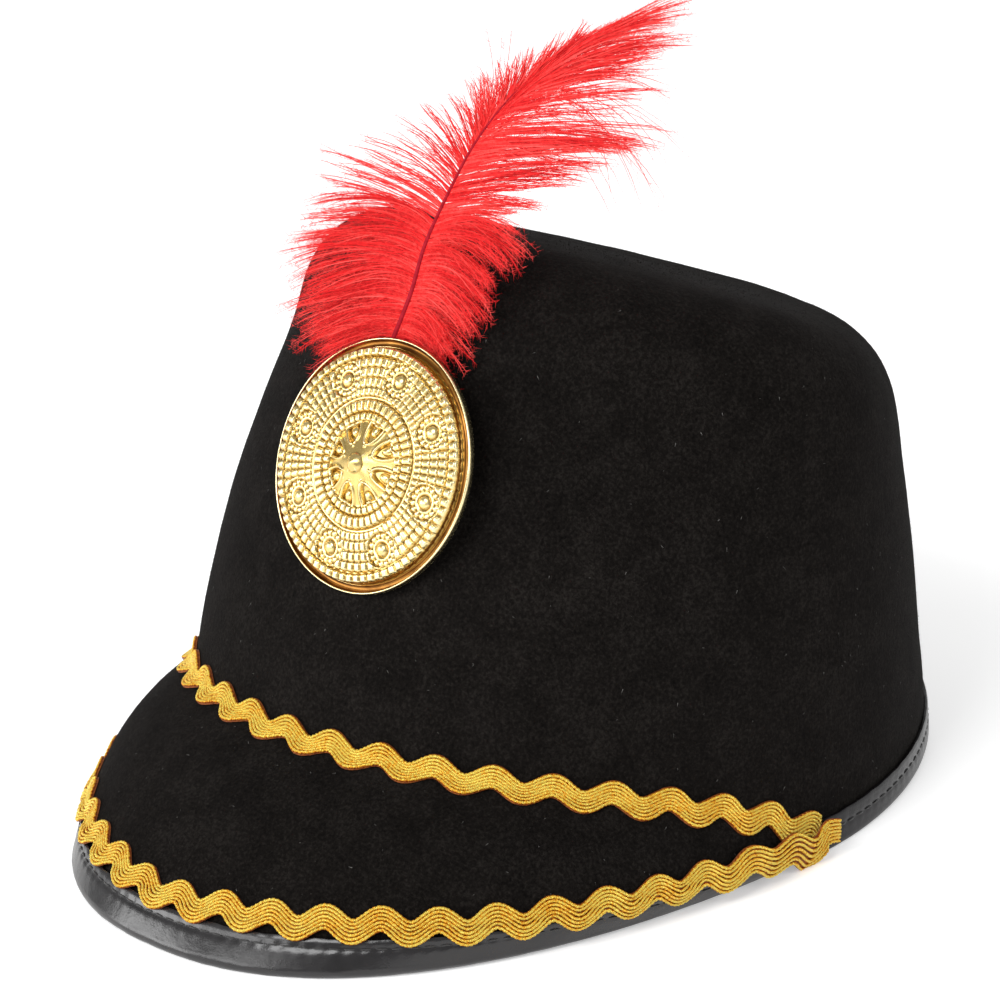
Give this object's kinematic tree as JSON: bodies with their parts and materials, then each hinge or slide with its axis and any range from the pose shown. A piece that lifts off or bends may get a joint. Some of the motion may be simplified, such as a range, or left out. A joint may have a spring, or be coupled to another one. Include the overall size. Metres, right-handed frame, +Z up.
{
  "type": "drum major hat",
  "caption": "Black felt parade hat with a sloped tall crown, a curved bound visor, gold wavy braid, a round gold medallion and a leaning red plume.",
  "frame": {"origin": "centre of the whole hat's box, plume included, at the table it stands on", "axes": "+Z up, the hat faces -Y, +X is the wearer's left"},
  "size_m": [0.2014, 0.2536, 0.2276],
  "materials": {
    "felt": "matt black wool felt with a short nap",
    "binding": "satin black leatherette, stitched",
    "braid": "metallic gold thread, woven",
    "medallion": "polished pale gold, embossed",
    "plume": "dyed red feather, soft and matt"
  },
  "bodies": {
    "root": {"crown": "felt", "visor": "felt", "crown_binding": "binding", "visor_binding": "binding", "braid_seam": "braid", "braid_visor": "braid", "medallion": "medallion", "plume": "plume"}
  },
  "joints": []
}
